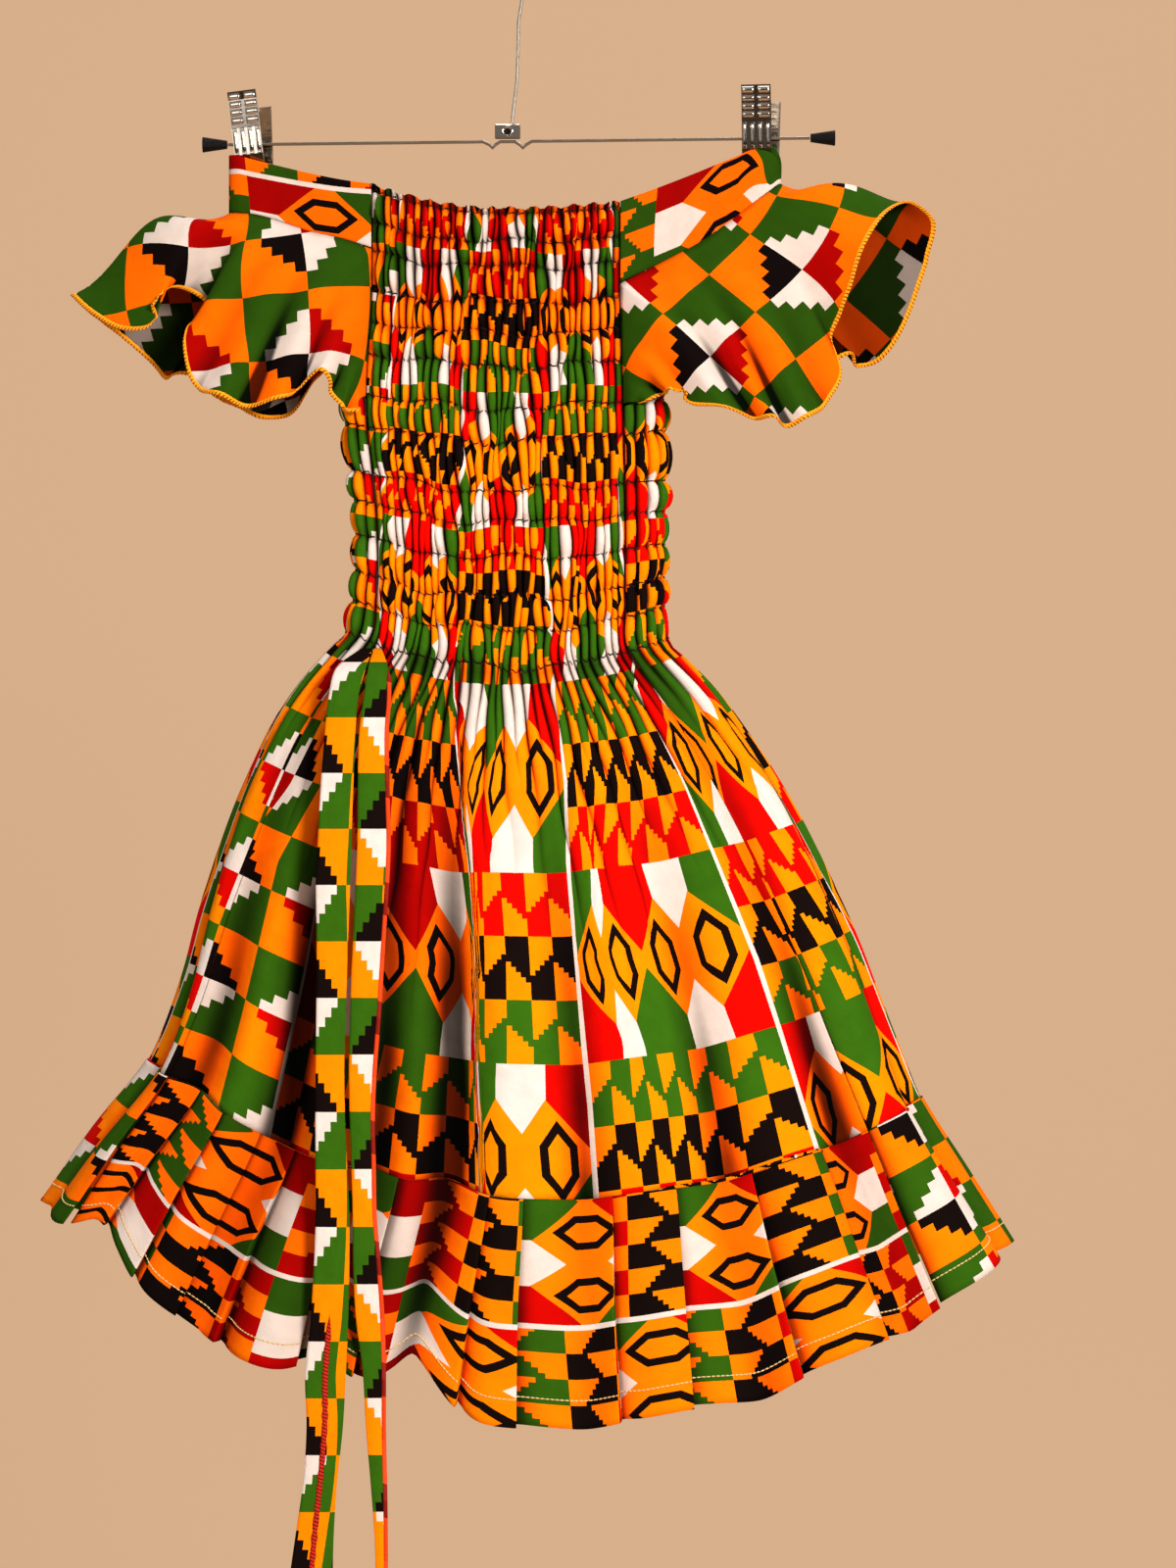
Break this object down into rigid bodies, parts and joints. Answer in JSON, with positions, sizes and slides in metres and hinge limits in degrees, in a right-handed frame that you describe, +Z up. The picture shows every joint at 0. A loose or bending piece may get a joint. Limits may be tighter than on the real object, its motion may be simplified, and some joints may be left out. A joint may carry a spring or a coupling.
{
  "type": "off-shoulder smocked dress on a clip hanger",
  "caption": "Child's off-shoulder summer dress with a smocked bodice, sleeve flounces, gathered skirt, pleated hem tier and long side ties, hung by its shoulder bands from a wire clip hanger.",
  "frame": {"origin": "inside top of the hanger's hook, where a rail carries it", "axes": "+X to the viewer's right seen from the dress's front, +Y towards its back, +Z up"},
  "size_m": [0.5354, 0.2218, 0.9087],
  "materials": {
    "smocked_print": "plain-woven wax-print cotton, matt",
    "band_print": "plain-woven wax-print cotton, matt",
    "flounce_print": "plain-woven wax-print cotton, matt",
    "tier_print": "plain-woven wax-print cotton, matt",
    "tie_print": "plain-woven wax-print cotton, matt",
    "chrome": "bright plating",
    "black_rubber": "satin"
  },
  "bodies": {
    "root": {"front_body": "smocked_print", "back_body": "smocked_print", "hem_front": "tier_print", "hem_back": "tier_print", "band_left": "band_print", "band_right": "band_print", "flounce_left": "flounce_print", "flounce_right": "flounce_print", "tie_left": "tie_print", "tie_right": "tie_print", "hanger_bar": "chrome", "bracket": "chrome", "hook": "chrome", "cap_left": "black_rubber", "cap_right": "black_rubber", "clip_left_front": "chrome", "clip_left_back": "chrome", "clip_left_spring": "chrome", "clip_right_front": "chrome", "clip_right_back": "chrome", "clip_right_spring": "chrome"}
  },
  "joints": []
}
